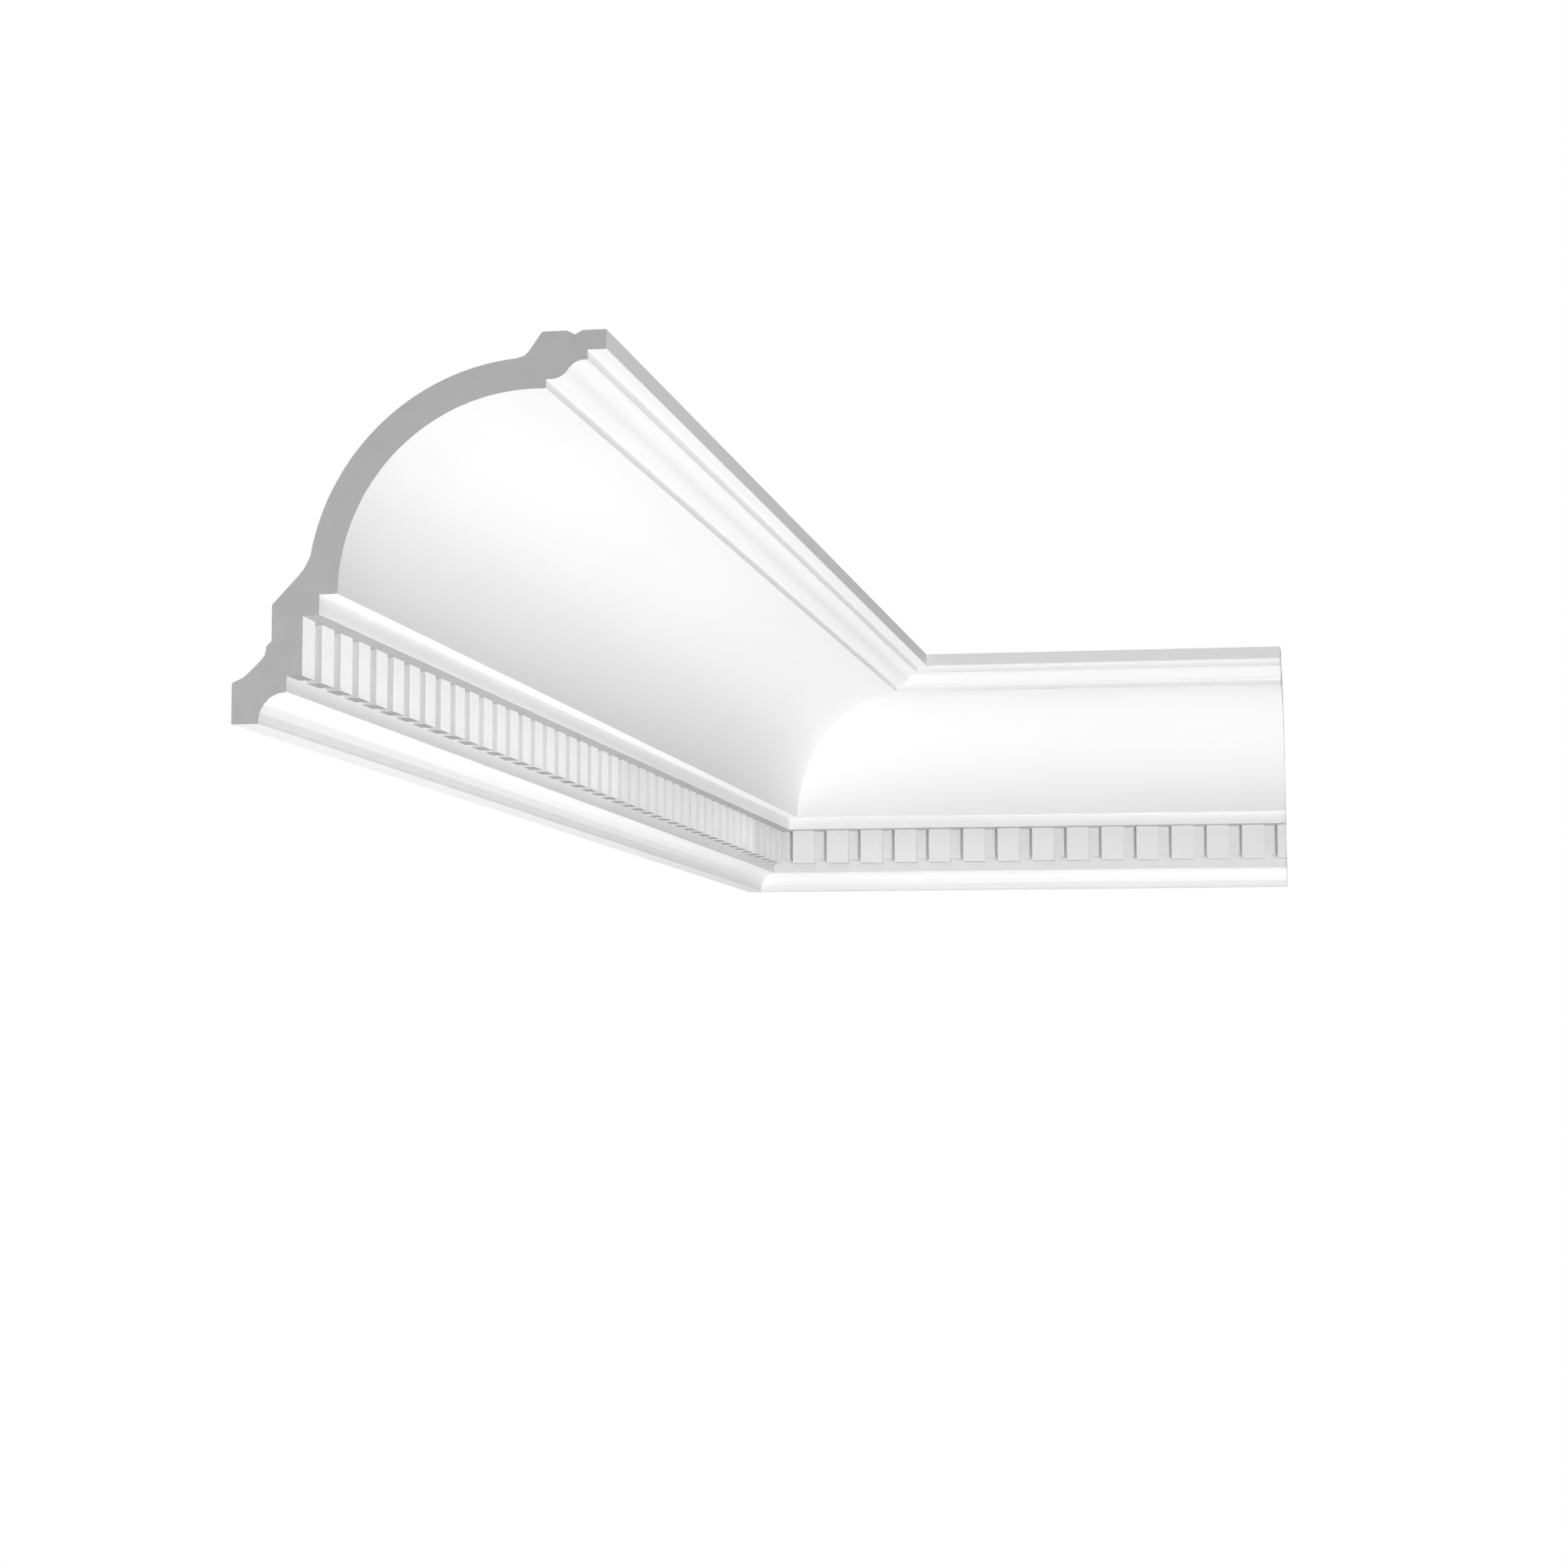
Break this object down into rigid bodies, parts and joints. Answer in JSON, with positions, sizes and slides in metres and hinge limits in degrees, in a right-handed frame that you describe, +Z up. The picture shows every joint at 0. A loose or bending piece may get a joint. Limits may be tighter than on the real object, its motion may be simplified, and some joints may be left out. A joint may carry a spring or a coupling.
{
  "type": "cornice",
  "caption": "White coved cornice with a dentil band, in an inside corner: a long left run and a short right run meet at a mitre, both free ends cut square.",
  "frame": {"origin": "the room's inner corner, where the ceiling and the two walls that the cornice is fixed to meet; the cornice hangs below it", "axes": "+X along the back wall and out of the left wall, +Y into the back wall so that the left run lies along -Y, +Z up; the ceiling is Z = 0"},
  "size_m": [0.4343, 1.2515, 0.17],
  "materials": {
    "primer": "matt white primer over hard moulded polyurethane foam, sawn ends grey"
  },
  "bodies": {
    "root": {"cornice_left_run": "primer", "cornice_right_run": "primer"}
  },
  "joints": []
}
